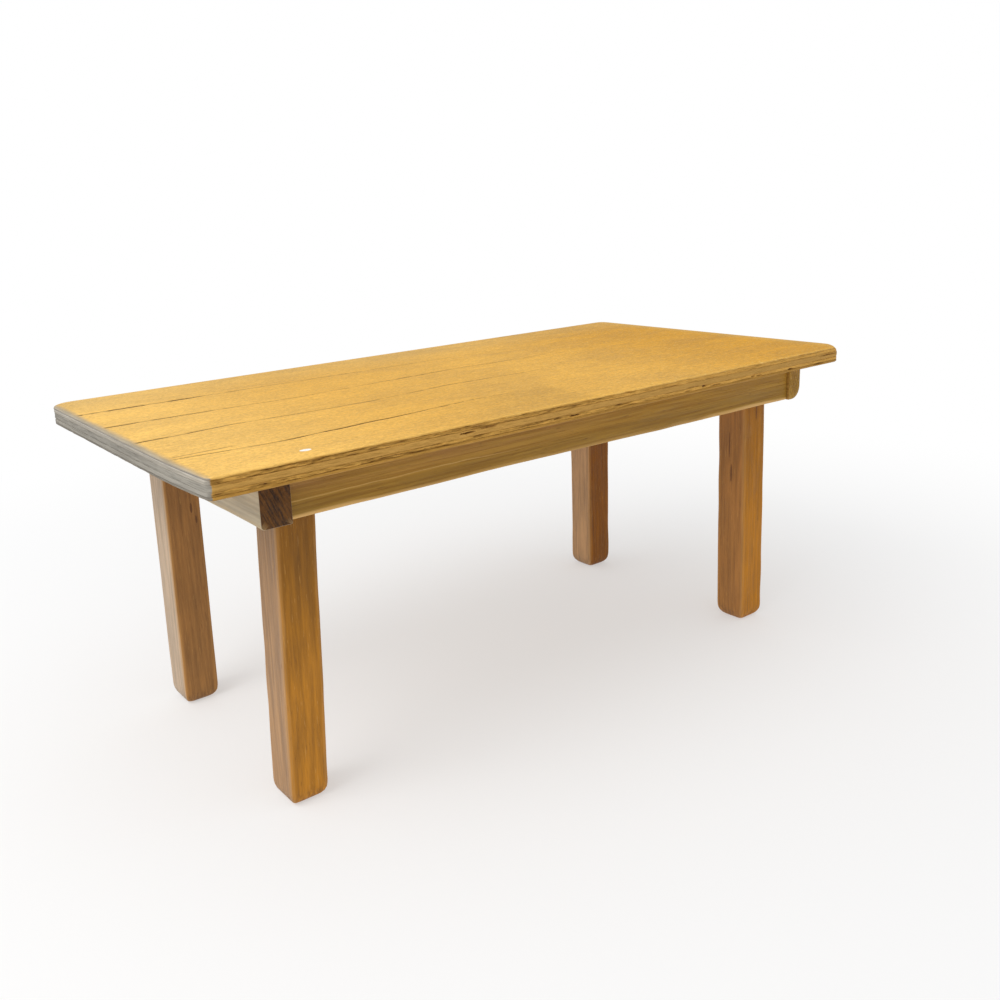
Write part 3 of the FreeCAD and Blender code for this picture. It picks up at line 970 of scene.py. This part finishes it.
# For each leg, the tones of its left face, paler with painted light and sheen, and of the rest, how bright its
# upper end is under painted shade from the top, and its dark marks.
LEG_LOOKS = {
    "leg_front_left": ((shade(168, 130, 92), shade(190, 126, 30)), 0.56, ()),
    "leg_front_right": (
        (shade(173, 119, 60), shade(190, 122, 8)),
        0.76,
        (
            ((None, -48.4, 71), (None, 0.5, 4.5)),
            ((None, -47.2, 84), (None, 0.35, 6.0)),
            ((117.2, None, 100), (0.4, None, 5.0)),
        ),
    ),
    "leg_back_left": (
        (shade(184, 160, 134), shade(162, 115, 62)),
        0.9,
        (((-110.6, None, 83), (0.45, None, 2.2)), ((-109.0, None, 78), (0.35, None, 1.6))),
    ),
    "leg_back_right": ((shade(187, 146, 104), shade(144, 86, 0)), 0.9, ()),
}


def make_legs():
    inside_low = np.array((box_mm("apron_left")[1][0], box_mm("apron_front")[1][1]))
    inside_high = np.array((box_mm("apron_right")[0][0] - RIGHT_LEG_GAP, box_mm("apron_back")[0][1]))
    for number, (node, (tones, top_share, marks)) in enumerate(LEG_LOOKS.items()):
        low, high = (corner[:2] for corner in box_mm(node))
        upper_low = np.where(low + high < 0, inside_low, inside_high - LEG_SIDE)
        lean = np.minimum(low - upper_low, 0) + np.maximum(high - upper_low - LEG_SIDE, 0)
        look = leg_look(node, tones, top_share, marks, 90 + 5 * number)
        make_bar(node, look, 2, (LEG_ARRIS,) * 4, (ROUND_FOOT, CUT_END), 200 + 10 * number, lean)


# ------------------------------------------------------------------------------------------------------------
# Floor, light and camera, in metres
# ------------------------------------------------------------------------------------------------------------

FLOOR_SIZE = 12.0
FLOOR_DROP = 0.00005
FLOOR_TONE = 0.88
FLOOR_GLOW = 0.45
# The floor is all white light from the second distance, in millimetres.
FLOOR_FADE = (150, 500)


def make_floor():
    """A pale floor, partly aglow, that turns to plain white light away from the table and has no horizon."""
    mesh = bpy.data.meshes.new("floor_shape")
    half = FLOOR_SIZE / 2
    corners = [(-half, -half), (half, -half), (half, half), (-half, half)]
    mesh.from_pydata([(*corner, -FLOOR_DROP) for corner in corners], [], [(0, 1, 2, 3)])
    floor = bpy.data.objects.new("floor", mesh)
    bpy.context.scene.collection.objects.link(floor)
    look = Look("floor_paper")
    away = look.maths("SQRT", look.plus(look.times(look.x, look.x), look.times(look.y, look.y)))
    paper = look.add("ShaderNodeBsdfDiffuse")
    look.feed(paper.inputs["Color"], (FLOOR_TONE, FLOOR_TONE, FLOOR_TONE, 1))
    glow = look.add("ShaderNodeEmission")
    mix = look.add("ShaderNodeMixShader")
    look.feed(mix.inputs[0], look.span(look.step(away, *FLOOR_FADE), FLOOR_GLOW, 1.0))
    look.feed(mix.inputs[1], paper.outputs[0])
    look.feed(mix.inputs[2], glow.outputs[0])
    output = look.add("ShaderNodeOutputMaterial")
    look.feed(output.inputs["Surface"], mix.outputs[0])
    mesh.materials.append(look.material)


def make_sky():
    """Soft light all round: strongest from above and the left, weakest from the front. The camera sees white."""
    world = bpy.data.worlds.new("studio")
    world.use_nodes = True
    bpy.context.scene.world = world
    sky = Tree(world.node_tree)
    from_x, from_y, from_z = sky.split(sky.add("ShaderNodeTexCoord").outputs["Generated"])
    overhead = sky.step(from_z, -0.05, 0.9)
    from_left = sky.step(from_x, 0.1, -0.9)
    strength = sky.plus(0.16, sky.times(overhead, 0.76), sky.times(from_left, 0.32))
    sees_sky = sky.add("ShaderNodeLightPath").outputs["Is Camera Ray"]
    strength = sky.plus(sky.times(strength, sky.inverse(sees_sky)), sees_sky)
    background = sky.add("ShaderNodeBackground")
    sky.feed(background.inputs["Color"], (1, 1, 1, 1))
    sky.feed(background.inputs["Strength"], strength)
    output = sky.add("ShaderNodeOutputWorld")
    sky.feed(output.inputs["Surface"], background.outputs[0])


KEY_PLACE = (-0.7, -0.05, 0.7)
KEY_SIZE = 0.6
KEY_POWER = 3.2


def make_key_light():
    """A big soft lamp over the left end of the table, aimed at its middle."""
    key = bpy.data.objects.new("key", bpy.data.lights.new("key", "AREA"))
    key.data.shape = "DISK"
    key.data.size = KEY_SIZE
    key.data.energy = KEY_POWER
    key.location = KEY_PLACE
    across = math.hypot(KEY_PLACE[0], KEY_PLACE[1])
    key.rotation_euler = Euler((math.atan2(across, KEY_PLACE[2]), 0, math.atan2(KEY_PLACE[0], -KEY_PLACE[1])))
    bpy.context.scene.collection.objects.link(key)


CAMERA_PLACE = (-0.24732, -0.32243, 0.19726)
CAMERA_TURN = (75.756, 2.534, -36.646)
CAMERA_LENS = 35.49
CAMERA_SENSOR = 36.0
CAMERA_SHIFT = (0.05, -0.05)


def make_camera():
    camera = bpy.data.objects.new("photo_camera", bpy.data.cameras.new("photo_camera"))
    camera.location = CAMERA_PLACE
    camera.rotation_euler = Euler([math.radians(turn) for turn in CAMERA_TURN])
    camera.data.sensor_width = CAMERA_SENSOR
    camera.data.lens = CAMERA_LENS
    camera.data.shift_x, camera.data.shift_y = CAMERA_SHIFT
    camera.data.clip_start = 0.01
    bpy.context.scene.collection.objects.link(camera)
    bpy.context.scene.camera = camera


make_top()
make_aprons()
make_legs()
make_floor()
make_sky()
make_key_light()
make_camera()
bpy.context.scene.view_settings.view_transform = "Standard"
